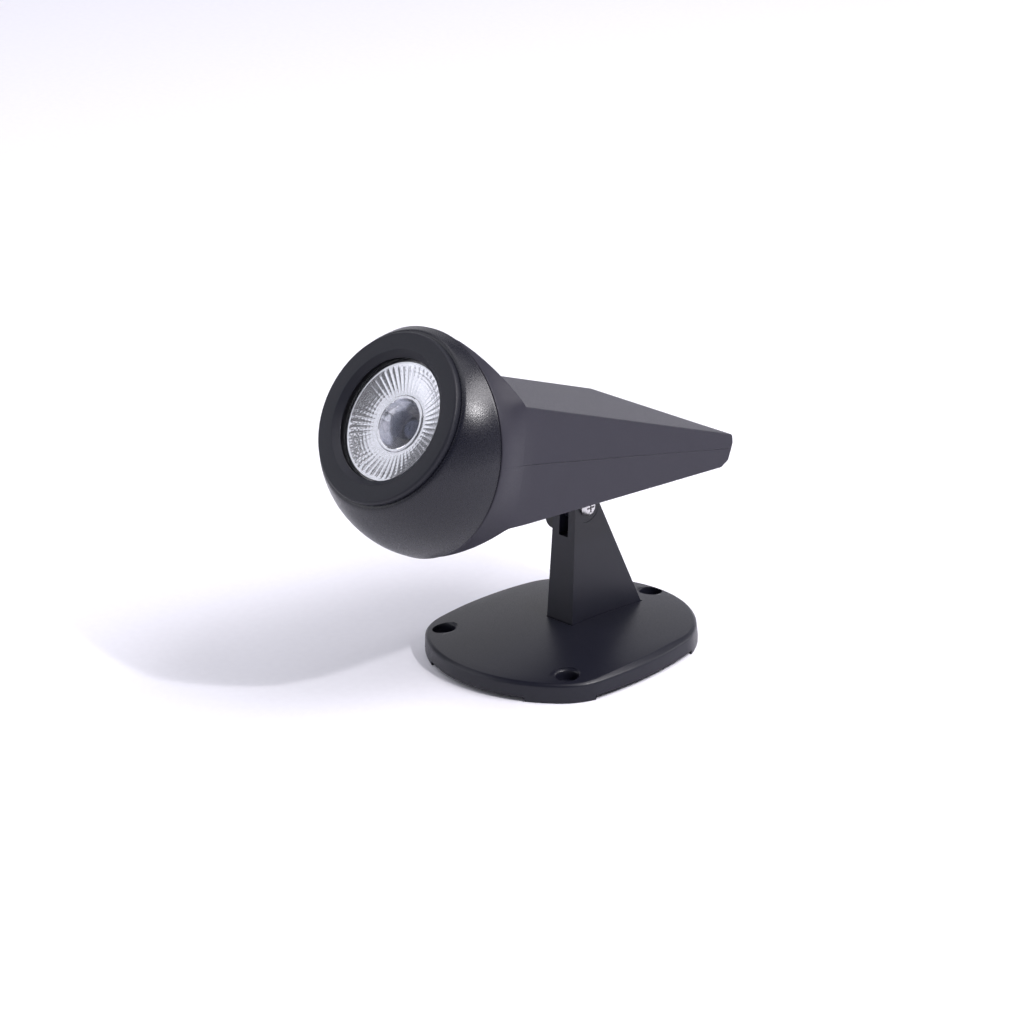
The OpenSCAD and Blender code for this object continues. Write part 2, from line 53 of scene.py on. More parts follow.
NODES = frame["nodes"]
JOINTS = {j["name"]: j for j in frame["joints"]}


def node_box(node):
    """Lowest and highest corner of a CAD node, in millimetres."""
    low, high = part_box(node)
    return low / MM, high / MM


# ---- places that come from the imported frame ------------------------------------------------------
BALL = Vector(JOINTS["cap_turn"]["pos_m"]) / MM
FORWARD = Vector(JOINTS["cap_turn"]["axis"]).normalized()
ACROSS = Vector((1, 0, 0))
HEAD_UP = ACROSS.cross(-FORWARD).normalized()

# ---- head's driving dimensions, as designed ------------------------------------------------------
# A name that ends in _S is a distance behind the ball's centre along the head's axis.
BALL_R = 48.2
SEAM_FRONT = 9.4  # body's front face, in front of the ball's centre
SEAM_GAP = 0.6
SEAM_R = 46.8
WEDGE_W = 84.0
TAIL_S = 130.9
PANEL_S = 5.5  # where the flat panels start
TOP_H, TOP_FALL = 24.7, math.radians(8.2)
UNDER_H, UNDER_RISE = 27.6, math.radians(8.7)
SIDE_DRAFT = 0.05
BLEND_S = 10.6  # where the round shoulder has turned into the wedge
SHOULDER_R = 49.0
SPIGOT_R = 32.8
SHELL_T = 3.0
BEZEL_TILT = math.radians(20.7)
BEZEL_FRONT, BEZEL_R, BEZEL_T = 32.8, 36.2, 2.8
BEZEL_OPEN_R, SIGHT_R = 28.6, 26.0
GLASS_R, GLASS_T = 29.5, 2.5
LAMP_R, LAMP_NECK_R, LAMP_DEPTH = 25.3, 7.0, 20.0
CAP_FACE = BEZEL_FRONT - BEZEL_T
GLASS_SEAT = CAP_FACE - GLASS_T
LAMP_RIM = GLASS_SEAT - 0.2


# ---- mesh helpers --------------------------------------------------------------------------------
def forward_frame(tilt=0.0):
    """Matrix of a frame at the ball's centre whose +Z points forward, tilt up from the head's axis."""
    out = FORWARD * math.cos(tilt) + HEAD_UP * math.sin(tilt)
    up = HEAD_UP * math.cos(tilt) - FORWARD * math.sin(tilt)
    m = Matrix((ACROSS, up, out)).transposed().to_4x4()
    m.translation = BALL
    return m


def head_frame():
    """Matrix of the head frame: origin at the ball's centre, +Y back along the axis, +Z square to it."""
    m = Matrix((ACROSS, -FORWARD, HEAD_UP)).transposed().to_4x4()
    m.translation = BALL
    return m


def make(name, points, faces, matrix=Matrix.Identity(4), sharp=35):
    """A new object from points in millimetres and faces, smooth but for edges over sharp degrees."""
    mesh = bpy.data.meshes.new(name)
    mesh.from_pydata([(matrix @ Vector(p)) * MM for p in points], [], faces)
    mesh.validate()
    return finish_mesh(name, mesh, sharp)


def finish_mesh(name, mesh, sharp=35):
    """An object from a mesh, with its points merged, its faces turned outward and its shading set."""
    b = bmesh.new()
    b.from_mesh(mesh)
    bmesh.ops.remove_doubles(b, verts=b.verts, dist=0.002 * MM)
    bmesh.ops.dissolve_degenerate(b, edges=b.edges, dist=0.001 * MM)
    bmesh.ops.recalc_face_normals(b, faces=b.faces)
    b.to_mesh(mesh)
    b.free()
    obj = bpy.data.objects.new(name, mesh)
    bpy.context.scene.collection.objects.link(obj)
    shade(obj, sharp)
    return obj


def grid_faces(rows, columns, wrap_rows=False):
    """Quads between rows of points, each row a closed ring, and back to the first row if wrap_rows."""
    faces = []
    for i in range(rows if wrap_rows else rows - 1):
        here, there = i * columns, ((i + 1) % rows) * columns
        for j in range(columns):
            k = (j + 1) % columns
            faces.append((here + j, here + k, there + k, there + j))
    return faces


def ring_points(radius, height, steps):
    """Points of a circle about +Z."""
    turns = [2 * math.pi * i / steps for i in range(steps)]
    return [Vector((radius * math.cos(a), radius * math.sin(a), height)) for a in turns]


def rounded(corners, closed=True, steps=5):
    """Polyline through (a, b, radius) corners, each an arc of its radius where that is not 0."""
    out = []
    n = len(corners)
    for i, (x, y, r) in enumerate(corners):
        here = Vector((x, y))
        if r == 0 or (not closed and i in (0, n - 1)):
            out.append(here)
            continue
        before = (Vector(corners[i - 1][:2]) - here).normalized()
        after = (Vector(corners[(i + 1) % n][:2]) - here).normalized()
        half = before.angle(after) / 2
        reach = r / math.tan(half)
        middle = here + (before + after).normalized() * (r / math.sin(half))
        a, b = here + before * reach - middle, here + after * reach - middle
        span = a.angle_signed(b)
        for k in range(steps + 1):
            out.append(middle + Matrix.Rotation(-span * k / steps, 2) @ a)
    return out


def lathe(name, profile, matrix, steps):
    """Solid of revolution about +Z from a closed profile of (radius, height) points."""
    points = [p for r, z in profile for p in ring_points(r, z, steps)]
    return make(name, points, grid_faces(len(profile), steps, wrap_rows=True), matrix)


def apply_modifiers(obj):
    """Turns an object's modifiers into its mesh."""
    graph = bpy.context.evaluated_depsgraph_get()
    mesh = bpy.data.meshes.new_from_object(obj.evaluated_get(graph))
    obj.modifiers.clear()
    obj.data = mesh


def cut(obj, *tools):
    """Takes the tools' shapes out of obj, and deletes the tools."""
    for tool in tools:
        m = obj.modifiers.new("cut", "BOOLEAN")
        m.operation, m.solver, m.object = "DIFFERENCE", "EXACT", tool
        apply_modifiers(obj)
        bpy.data.objects.remove(tool)


def shade(obj, sharp):
    """Smooth shading but for edges over sharp degrees."""
    obj.data.shade_smooth()
    obj.data.set_sharp_from_angle(angle=math.radians(sharp))


def soften(obj, width):
    """Rounds the sharper edges, and shades the rest so that large flat faces stay flat."""
    m = obj.modifiers.new("round", "BEVEL")
    m.width, m.segments, m.limit_method = width * MM, 3, "ANGLE"
    m.angle_limit = math.radians(32)
    apply_modifiers(obj)
    shade(obj, 50)
    m = obj.modifiers.new("even", "WEIGHTED_NORMAL")
    m.keep_sharp, m.weight = True, 90
    apply_modifiers(obj)


def rounded_copy(node, name, width):
    """A new piece with a CAD node's shape and rounded edges."""
    b = bmesh.new()
    b.from_mesh(NODES[node].data)
    bmesh.ops.remove_doubles(b, verts=b.verts, dist=0.004 * MM)
    bmesh.ops.dissolve_limit(b, angle_limit=math.radians(1.0), verts=b.verts, edges=b.edges)
    mesh = bpy.data.meshes.new(name)
    b.to_mesh(mesh)
    b.free()
    obj = finish_mesh(name, mesh)
    soften(obj, width)
    return obj


def place(obj, body, slot, node, material=None):
    """Gives a piece the material of its slot, or the one named, hides its CAD node so that the piece shows in its
    place, and parents it to its body.
    """
    obj.data.materials.clear()
    obj.data.materials.append(MATERIALS[material or slot])
    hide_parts(node)
    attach(obj, body)


# ---- materials -----------------------------------------------------------------------------------
def new_material(name, **sockets):
    """A material, its tree and its shader, with constants on the sockets named, _ for a space."""
    mat = bpy.data.materials.new(name)
    mat.use_nodes = True
    shader = mat.node_tree.nodes["Principled BSDF"]
    for key, value in sockets.items():
        shader.inputs[key.replace("_", " ")].default_value = value
    return mat, mat.node_tree, shader


def add_noise(tree, scale, detail=3.0, roughness=0.5, stretch=(1, 1, 1)):
    """Noise in the object's own space: scale is in cells for each metre."""
    coordinates = tree.nodes.new("ShaderNodeTexCoord")
    mapping = tree.nodes.new("ShaderNodeMapping")
    mapping.inputs["Scale"].default_value = stretch
    noise = tree.nodes.new("ShaderNodeTexNoise")
    noise.inputs["Scale"].default_value = scale
    noise.inputs["Detail"].default_value = detail
    noise.inputs["Roughness"].default_value = roughness
    tree.links.new(coordinates.outputs["Object"], mapping.inputs["Vector"])
    tree.links.new(mapping.outputs["Vector"], noise.inputs["Vector"])
    return noise


def add_bump(tree, shader, height, strength, distance):
    """Bump of the shader's surface by height, up to distance millimetres."""
    bump = tree.nodes.new("ShaderNodeBump")
    bump.inputs["Strength"].default_value = strength
    bump.inputs["Distance"].default_value = distance * MM
    tree.links.new(height, bump.inputs["Height"])
    tree.links.new(bump.outputs["Normal"], shader.inputs["Normal"])


def add_ramp(tree, factor, target, stops):
    """Feeds target with a colour ramp over factor, with (position, colour) stops."""
    ramp = tree.nodes.new("ShaderNodeValToRGB")
    for k, (position, value) in enumerate(stops):
        if k > 1:
            ramp.color_ramp.elements.new(position)
        ramp.color_ramp.elements[k].position = position
        ramp.color_ramp.elements[k].color = (*value, 1)
    tree.links.new(factor, ramp.inputs["Fac"])
    tree.links.new(ramp.outputs["Color"], target)


def shaded(color, share):
    """A colour made darker or lighter."""
    return tuple(c * share for c in color)


def vary_color(tree, shader, noise, dark, light):
    """Colour between two (position, colour) stops of a noise."""
    add_ramp(tree, noise.outputs["Fac"], shader.inputs["Base Color"], [dark, light])


def vary_gloss(tree, shader, noise, low, high):
    """Roughness between two (position, value) stops of a noise."""
    stops = [(position, (value, value, value)) for position, value in (low, high)]
    add_ramp(tree, noise.outputs["Fac"], shader.inputs["Roughness"], stops)


def textured_paint(name, color, roughness, shine, grain, cells=2600.0):
    """Fine-textured moulding or powder coat: small pebbles, faint patches and uneven gloss."""
    mat, tree, shader = new_material(name, Specular_IOR_Level=shine)
    pebbles = add_noise(tree, cells, 2.0, 0.55)
    cloud = add_noise(tree, 38.0, 4.0, 0.6)
    vary_color(tree, shader, cloud, (0.3, shaded(color, 0.95)), (0.7, shaded(color, 1.05)))
    vary_gloss(tree, shader, pebbles, (0.35, roughness - 0.06), (0.65, roughness + 0.06))
    add_bump(tree, shader, pebbles.outputs["Fac"], grain, 0.06)
    return mat


def metal(name, color, roughness):
    """Plated or brushed metal with fine drawn lines."""
    mat, tree, shader = new_material(name, Metallic=1.0)
    lines = add_noise(tree, 1400.0, 3.0, 0.6, stretch=(1, 1, 14))
    vary_color(tree, shader, lines, (0.35, shaded(color, 0.86)), (0.65, color))
    vary_gloss(tree, shader, lines, (0.3, roughness * 0.8), (0.7, roughness * 1.3))
    add_bump(tree, shader, lines.outputs["Fac"], 0.12, 0.02)
    return mat


def plain_plastic(name, color, roughness, cells=900.0, grain=0.1):
    """Smooth moulded plastic, rubber or ceramic with a faint unevenness."""
    mat, tree, shader = new_material(name)
    skin = add_noise(tree, cells, 3.0, 0.5)
    vary_color(tree, shader, skin, (0.35, shaded(color, 0.9)), (0.65, color))
    vary_gloss(tree, shader, skin, (0.3, roughness - 0.05), (0.7, roughness + 0.05))
    add_bump(tree, shader, skin.outputs["Fac"], grain, 0.03)
    return mat


def clear_glass(name, tint, alpha, roughness):
    """Clear glass that lets light through without bending it, with a very faint waviness."""
    mat, tree, shader = new_material(
        name, Base_Color=(*tint, 1), Roughness=roughness, Alpha=alpha, IOR=1.5)
    wave = add_noise(tree, 60.0, 1.0, 0.4)
    add_bump(tree, shader, wave.outputs["Fac"], 0.02, 0.05)
    return mat


def mirror_coat(name, color, roughness):
    """Vapour-deposited mirror with slight haze."""
    mat, tree, shader = new_material(name, Metallic=0.75)
    haze = add_noise(tree, 420.0, 3.0, 0.6)
    vary_color(tree, shader, haze, (0.3, shaded(color, 0.9)), (0.7, color))
    vary_gloss(tree, shader, haze, (0.3, roughness * 0.7), (0.7, roughness * 1.4))
    add_bump(tree, shader, haze.outputs["Fac"], 0.01, 0.01)
    return mat


MATERIALS = {
    "body_plastic": textured_paint("body_paint", (0.0180, 0.0170, 0.0272), 0.46, 0.3, 0.4),
    "cap_paint": textured_paint("cap_paint", (0.0058, 0.0061, 0.0122), 0.29, 0.42, 0.62, cells=2100.0),
    "bezel_paint": textured_paint("bezel_paint", (0.0088, 0.0094, 0.0155), 0.5, 0.3, 0.6),
    "base_paint": textured_paint("base_paint", (0.0078, 0.0083, 0.0155), 0.36, 0.35, 0.32),
    "steel": metal("plated_steel", (0.62, 0.61, 0.62), 0.32),
    "black_nylon": plain_plastic("black_nylon", (0.006, 0.006, 0.007), 0.5),
    "washer_fibre": plain_plastic("washer_fibre", (0.2, 0.19, 0.18), 0.7, 1800.0, 0.3),
    "black_rubber": plain_plastic("black_rubber", (0.01, 0.01, 0.011), 0.6),
    "driver_plastic": plain_plastic("driver_plastic", (0.2, 0.22, 0.24), 0.45),
    "white_plastic": plain_plastic("white_plastic", (0.72, 0.71, 0.68), 0.4),
    "ceramic": plain_plastic("ceramic", (0.75, 0.72, 0.66), 0.65, 1500.0, 0.3),
    "wire_red": plain_plastic("wire_insulation", (0.4, 0.04, 0.03), 0.4),
    "glass": clear_glass("cover_glass", (0.02, 0.022, 0.03), 0.13, 0.02),
    "reflector_silver": mirror_coat("reflector_coat", (0.94, 0.95, 1.0), 0.1),
    "capsule_glass": clear_glass("capsule_glass", (0.3, 0.33, 0.46), 0.42, 0.08),
}


# ---- front cap, bezel and glass ------------------------------------------------------------------
CAP_STEPS = 160
CAP_WALL = 2.8
CAP_BACK = SEAM_FRONT + SEAM_GAP
CAP_EDGE_R = 0.7
SEAL_GROOVE_IN, SEAL_GROOVE_OUT, SEAL_GROOVE_D, SEAL_LEAD = 42.0, 44.2, 0.9, 0.2
GLASS_PLAY, GLASS_LEDGE = 0.3, 0.8
LAMP_PLAY, LAMP_BORE_D = 0.7, 3.8
SPIGOT_WALL, SPIGOT_END = 3.0, 5.2


def ring(tilt, radius, out):
    """A circle about the axis at tilt from the head's axis, out in front of the ball's centre."""
    return [forward_frame(tilt) @ p for p in ring_points(radius, out, CAP_STEPS)]


def sphere_band(radius, first, last):
    """(tilt, radius, out) rings on a sphere, from one (tilt, out) circle to another."""
    bands = 22
    start, end = math.acos(first[1] / radius), math.acos(last[1] / radius)
    rows = []
    for k in range(bands + 1):
        t = k / bands
        angle = start + (end - start) * t
        tilt = first[0] + (last[0] - first[0]) * t
        rows.append((tilt, radius * math.sin(angle), radius * math.cos(angle)))
    return rows


def cap_rows():
    """(tilt, radius, out) rings round the cap's wall: seam face, ball, bezel face, glass seat, spigot."""
    inner_r = BALL_R - CAP_WALL
    back_r = math.sqrt(BALL_R ** 2 - CAP_BACK ** 2)
    face_r = math.sqrt(BALL_R ** 2 - CAP_FACE ** 2)
    ledge, bore_end = GLASS_SEAT - GLASS_LEDGE, GLASS_SEAT - LAMP_BORE_D
    lip_r = math.sqrt(inner_r ** 2 - bore_end ** 2)
    seam = [(SPIGOT_R - 0.4, CAP_BACK), (SEAL_GROOVE_IN - SEAL_LEAD, CAP_BACK),
            (SEAL_GROOVE_IN, CAP_BACK + SEAL_GROOVE_D), (SEAL_GROOVE_OUT, CAP_BACK + SEAL_GROOVE_D),
            (SEAL_GROOVE_OUT + SEAL_LEAD, CAP_BACK), (back_r - 1.6, CAP_BACK)]
    for k in range(4):
        a = math.radians(90 * k / 4)
        seam.append((back_r - CAP_EDGE_R + CAP_EDGE_R * math.sin(a) - 0.03 * (3 - k),
                     CAP_BACK + CAP_EDGE_R * (1 - math.cos(a))))
    face = [(face_r - 0.25, CAP_FACE - 0.12), (face_r - 0.8, CAP_FACE), (BEZEL_R - 1.3, CAP_FACE),
            (GLASS_R + GLASS_PLAY, CAP_FACE), (GLASS_R + GLASS_PLAY, ledge),
            (LAMP_R + LAMP_PLAY, ledge), (LAMP_R + LAMP_PLAY, bore_end), (lip_r - 0.5, bore_end)]
    spigot_r = SPIGOT_R - 0.3
    spigot = [(spigot_r - SPIGOT_WALL, CAP_BACK + CAP_WALL), (spigot_r - SPIGOT_WALL, SPIGOT_END),
              (spigot_r, SPIGOT_END)]
    return ([(0, *p) for p in seam]
            + sphere_band(BALL_R, (0, CAP_BACK + CAP_EDGE_R + 0.1), (BEZEL_TILT, CAP_FACE - 0.5))
            + [(BEZEL_TILT, *p) for p in face]
            + sphere_band(inner_r, (BEZEL_TILT, bore_end - 0.6), (0, CAP_BACK + CAP_WALL + 0.2))
            + [(0, *p) for p in spigot])


def build_cap():
    """The ball in front of the seam: one closed wall with a turning spigot and a seat for the glass."""
    rows = cap_rows()
    points = [p for row in rows for p in ring(*row)]
    obj = make("ball_cap", points, grid_faces(len(rows), CAP_STEPS, wrap_rows=True))
    place(obj, "cap", "cap_paint", "front_cap")


def build_bezel():
    """Flat ring with a bevelled opening."""
    profile = rounded([
        (SIGHT_R, CAP_FACE, 0.1), (BEZEL_R, CAP_FACE, 0), (BEZEL_R, BEZEL_FRONT, 1.2),
        (BEZEL_OPEN_R, BEZEL_FRONT, 0.5), (SIGHT_R, CAP_FACE + 0.6, 0.15)])
    obj = lathe("bezel", profile, forward_frame(BEZEL_TILT), CAP_STEPS)
    place(obj, "cap", "cap_paint", "bezel_ring", "bezel_paint")


def build_glass():
    """Flat clear disc."""
    profile = rounded([(AXIS_R, GLASS_SEAT, 0), (GLASS_R, GLASS_SEAT, 0.35), (GLASS_R, CAP_FACE, 0.35),
                       (AXIS_R, CAP_FACE, 0)], steps=3)
    place(lathe("cover_glass", profile, forward_frame(BEZEL_TILT), 128), "cap", "glass", "front_glass")


# ---- reflector lamp ------------------------------------------------------------------------------
CUP_R, CUP_LIP, CUP_STEPS = 10.8, 3.0, 13
CUP_TOP = LAMP_RIM - CUP_LIP
CUP_BOTTOM = LAMP_RIM - LAMP_DEPTH
LIP_HALF_W, LIP_RISE, LIP_STEPS = 0.8, 0.55, 6
DISH_IN_R, DISH_OUT_R, DISH_CURVE = CUP_R + 1.3, LAMP_R - 1.1, 1.3
BACK_STEPS = 6
FLUTES, FLUTE_POINTS = 54, 10
DISH_RINGS, RING_POINTS = 8, 5
FLUTE_SWELL, RING_SWELL = 0.15, 0.02


def swell(t):
    """Bulge across one flute or ring, from -0.5 at its sides to 0.5 in its middle."""
    return 4 * t * (1 - t) - 0.5


def build_reflector():
    """A smooth inner cup with a rolled lip, then a shallow fluted dish stepped in rings."""
    steps = FLUTES * FLUTE_POINTS
    points = []
    rows = 0

    def add_row(radius, height, flute=0.0):
        nonlocal rows
        for i in range(steps):
            a = 2 * math.pi * i / steps
            v = (i % FLUTE_POINTS) / FLUTE_POINTS
            points.append((radius * math.cos(a), radius * math.sin(a), height + flute * swell(v)))
        rows += 1

    cup_w, cup_d = CUP_R - LAMP_NECK_R, CUP_TOP - CUP_BOTTOM
    for k in range(CUP_STEPS):
        t = k / CUP_STEPS
        add_row(LAMP_NECK_R + cup_w * t * t, CUP_BOTTOM + cup_d * t)
    lip_r, lip_z = CUP_R + 0.45, CUP_TOP - 0.2
    for k in range(LIP_STEPS):
        a = math.pi * k / LIP_STEPS
        add_row(lip_r - LIP_HALF_W * math.cos(a), lip_z + LIP_RISE * math.sin(a))
    for k in range(DISH_RINGS * RING_POINTS + 1):
        share = k / (DISH_RINGS * RING_POINTS)
        bulge = RING_SWELL * swell((k % RING_POINTS) / RING_POINTS)
        r = DISH_IN_R + (DISH_OUT_R - DISH_IN_R) * share
        z = CUP_TOP - 0.25 + (CUP_LIP + 0.1) * share ** DISH_CURVE
        fade = min(1.0, 6 * share, 8 * (1 - share))
        add_row(r, z + bulge * fade, FLUTE_SWELL * fade * r / LAMP_R)
    for inset, drop in ((0.9, 0.1), (0.3, 0.0), (0.0, 0.3), (0.0, 1.6)):
        add_row(LAMP_R - inset, LAMP_RIM - drop)
    for share in (0.9, 0.6, 0.3, 0.0):
        r = CUP_R + 0.8 + (LAMP_R - 1.8 - CUP_R) * share
        add_row(r, CUP_TOP - 1.7 + CUP_LIP * share ** DISH_CURVE)
    for k in range(BACK_STEPS - 1, -1, -1):
        t = k / BACK_STEPS
        add_row(LAMP_NECK_R + 1.3 + cup_w * t * t, CUP_BOTTOM + cup_d * t - 1.4 * t)
    faces = grid_faces(rows, steps, wrap_rows=True)
    obj = make("reflector_dish", points, faces, forward_frame(BEZEL_TILT), 24)
    place(obj, "cap", "reflector_silver", "reflector")


CAPSULE_R, CAPSULE_STRAIGHT, CAPSULE_DOME = 4.2, 8.0, 3.3
CAPSULE_BELOW, CAPSULE_LEAD = 4.0, 0.4


def build_capsule():
    """Lamp capsule: a round glass bulb that draws in to its sealed tip."""
    shoulder = CUP_BOTTOM + CAPSULE_STRAIGHT
    profile = [(AXIS_R, CUP_BOTTOM - CAPSULE_BELOW), (CAPSULE_R - 0.1, CUP_BOTTOM - CAPSULE_BELOW),
               (CAPSULE_R, CUP_BOTTOM - CAPSULE_BELOW + CAPSULE_LEAD), (CAPSULE_R, shoulder)]
    for k in range(1, 9):
        a = math.radians(90 * k / 9)
        profile.append((CAPSULE_R * math.cos(a), shoulder + CAPSULE_DOME * math.sin(a)))
    profile += [(0.7, shoulder + 3.7), (0.45, shoulder + 4.15), (AXIS_R, shoulder + 4.2)]
    obj = lathe("lamp_bulb", profile, forward_frame(BEZEL_TILT), 64)
    place(obj, "cap", "capsule_glass", "lamp_capsule")


# ---- wedge body ----------------------------------------------------------------------------------
def smooth(t):
    """0 to 1 with an even start and end."""
    u = min(max(t, 0.0), 1.0)
    return u * u * (3 - 2 * u)


def over(s):
    """Height of the top panel over the head's axis, s behind the ball's centre."""
    return TOP_H - s * math.tan(TOP_FALL)


def under(s):
    """Depth of the underside below the head's axis, s behind the ball's centre."""
    return UNDER_H - s * math.tan(UNDER_RISE)


def skin_r(a, s):
    """Radius of the body's skin at angle a from the parting line, s behind the ball's centre."""
    flat = (WEDGE_W / 2 + SIDE_DRAFT * over(s)) / (abs(math.cos(a)) + SIDE_DRAFT * abs(math.sin(a)))
    t = smooth((s + SEAM_FRONT) / (BLEND_S + SEAM_FRONT))
    return (1 - t) * SEAM_R + t * min(SHOULDER_R, flat)


def skin_corner(s, h):
    """Angle at which the skin reaches height h."""
    low, high = 0.0, math.pi / 2
    for _ in range(40):
        a = (low + high) / 2
        if skin_r(a, s) * math.sin(a) < h:
            low = a
        else:
            high = a
    return low


def densify(path, spacing):
    """Adds points to a path's longer stretches: spacing(s) gives the longest step at s."""
    out = [path[0]]
    for a, b in zip(path, path[1:]):
        count = max(1, math.ceil((b - a).length / spacing((a.x + b.x) / 2)))
        out += [a.lerp(b, k / count) for k in range(1, count + 1)]
    return out


def edge_path(upper):
    """Side view of the body's upper or lower edge, from the seam to the tail's parting line."""
    seam, end = (-SEAM_FRONT, SEAM_R, 0), (TAIL_S - 0.45, 0.1, 0)
    if upper:
        corners = [(PANEL_S, over(PANEL_S), 1.6), (TAIL_S - 0.8, over(TAIL_S), 1.2), (TAIL_S, 2.8, 0.9)]
    else:
        chin_s = TAIL_S - 4.6
        corners = [(PANEL_S, under(PANEL_S), 5.0), (chin_s, under(chin_s), 2.2), (TAIL_S - 1.3, 5.4, 1.4)]
    path = rounded([seam, *corners, end], closed=False, steps=6)
    return densify(path, lambda s: 1.2 if s < BLEND_S + 2 else 7.0)


EDGE_R = 0.6  # along the panels' long edges
SEAM_EDGE = 0.6
TAIL_FOOT_S = TAIL_S - 1.6  # how far back the parting line's sections reach
SIDE_STEPS, ARC_STEPS, TOP_STEPS = 22, 6, 12
GROOVE_H, GROOVE_D = 0.22, 0.16  # chamfer beside the parting line
SPLIT_H = 0.02  # half of the gap between the two shells


def arc(middle, start, end, steps):
    """Points on an arc about middle, from middle + start to middle + end."""
    if start.length < 0.001:
        return [middle + start] * (steps + 1)
    angle = start.angle(end)
    out = []
    for k in range(steps + 1):
        t = k / steps
        across = start * math.sin(angle * (1 - t)) + end * math.sin(angle * t)
        out.append(middle + across / math.sin(angle))
    return out


def skin_x(s, h):
    """Half width of the body's skin at height h."""
    a = skin_corner(s, h)
    return skin_r(a, s) * math.cos(a)


def section(edge, foot_s):
    """Half section from the parting line at foot_s up to edge, an (s, h), and in to the middle."""
    s, h = edge
    corner = skin_corner(s, h)
    groove = min(GROOVE_H, h * 0.4)
    side = []
    for k in range(SIDE_STEPS + 1):
        if s < BLEND_S:
            low = math.asin(groove / SEAM_R)
            a = low + (corner - low) * k / SIDE_STEPS
            r = skin_r(a, s)
            side.append(Vector((r * math.cos(a), s, r * math.sin(a))))
        else:
            share = (groove + (h - groove) * k / SIDE_STEPS) / h
            here = foot_s + (s - foot_s) * share
            side.append(Vector((skin_x(here, h * share), here, h * share)))
    tip = side[-1]
    down, inward = (side[-2] - tip).normalized(), Vector((-1, 0, 0))
    half = down.angle(inward) / 2
    length = sum((b - a).length for a, b in zip(side, side[1:]))
    reach = min(EDGE_R / math.tan(half), length * 0.4, tip.x * 0.4)
    radius = reach * math.tan(half)
    out = []
    for k in range(SIDE_STEPS):
        position = k * (length - reach) / length
        i = min(int(position), SIDE_STEPS - 1)
        out.append(side[i].lerp(side[i + 1], position - i))
    middle = tip + (down + inward).normalized() * (radius / math.sin(half))
    out += arc(middle, tip + down * reach - middle, tip + inward * reach - middle, ARC_STEPS)
    last = out[-1]
    out += [Vector((last.x * (1 - k / TOP_STEPS), last.y, last.z)) for k in range(1, TOP_STEPS + 1)]
    fade = GROOVE_D * smooth((s - 2) / 8) * (1 - 0.5 * s / TAIL_S) + 0.015
    return [Vector((out[0].x - fade, out[0].y, SPLIT_H))] + out


def front_rows(seam):
    """Rows of the front wall, from the spigot's hole out to the rounded seam edge."""
    flat_r = SEAM_R - SEAM_EDGE
    turn_in = [(r, -SEAM_FRONT) for r in (SPIGOT_R + 0.3, 38.0, 43.0, flat_r)]
    for k in range(1, 4):
        a = math.radians(90 * k / 4)
        turn_in.append((flat_r + SEAM_EDGE * math.sin(a), -SEAM_FRONT + SEAM_EDGE * (1 - math.cos(a))))
    return [[Vector((p.x * r / SEAM_R, s, max(p.z * r / SEAM_R, SPLIT_H))) for p in seam]
            for r, s in turn_in]


def inner_point(p, edge_h):
    """Where the wall's inner face lies behind a point of its outer face."""
    s = min(max(p.y, SHELL_T - SEAM_FRONT), TAIL_S - SHELL_T - 1.5)
    h = max(min(p.z, edge_h(s) - SHELL_T), SPLIT_H)
    x = skin_x(s, h) - SHELL_T
    if p.y < SHELL_T - SEAM_FRONT:
        reach = SEAM_R - SHELL_T
        radius = math.hypot(p.x, p.z)
        scale = min(1.0, reach / max(radius, 0.001))
        return Vector((p.x * scale, s, max(min(p.z * scale, edge_h(s) - SHELL_T), SPLIT_H)))
    return Vector((min(p.x, x), s, h))


def edge_height(path, s):
    """Height of the body's upper or lower edge at s."""
    for a, b in zip(path, path[1:]):
        if a.x <= s <= b.x and b.x > a.x:
            return a.y + (b.y - a.y) * (s - a.x) / (b.x - a.x)
    return path[-1].y


def shell_faces(rows, columns):
    """Faces of loops over the outer skin and back over the inner one, and of the two end rims."""
    loop = 2 * columns
    faces = grid_faces(rows, loop)
    for start in (0, (rows - 1) * loop):
        faces += [(start + j, start + j + 1, start + loop - 2 - j, start + loop - 1 - j)
                  for j in range(columns - 1)]
    return faces


def build_shell(name, upper):
    """One half of the body: outer skin, inner skin and the rims between them."""
    path = edge_path(upper)
    sections = [section((p.x, p.y), min(p.x, TAIL_FOOT_S)) for p in path]
    seam = [p + Vector((0, SEAM_EDGE, 0)) for p in sections[0]]
    rows = front_rows(sections[0]) + [seam] + sections[2:]
    inner_rows = [[inner_point(p, lambda s: edge_height(path, s)) for p in row] for row in rows]
    sign = 1 if upper else -1

    def both_sides(row):
        half = [Vector((p.x, p.y, sign * p.z)) for p in row]
        return half + [Vector((-p.x, p.y, p.z)) for p in reversed(half[:-1])]

    points = []
    for outer, inner in zip(rows, inner_rows):
        points += both_sides(outer) + both_sides(inner)[::-1]
    columns = len(both_sides(rows[0]))
    return make(name, points, shell_faces(len(rows), columns), head_frame(), 30)


def underside_frame(x, s):
    """Matrix of a frame on the body's underside: +Z into the body, +Y towards the tail."""
    return head_frame() @ Matrix.Translation((x, s, -under(s))) @ Matrix.Rotation(UNDER_RISE, 4, "X")


SCREW_POSTS = [(36, 22), (-36, 22), (36, 104), (-36, 104)]
WELL_R, WELL_MOUTH_R, WELL_D = 3.2, 4.2, 2.5
GLAND_S, GLAND_HOLE_R = 112.0, 6.1


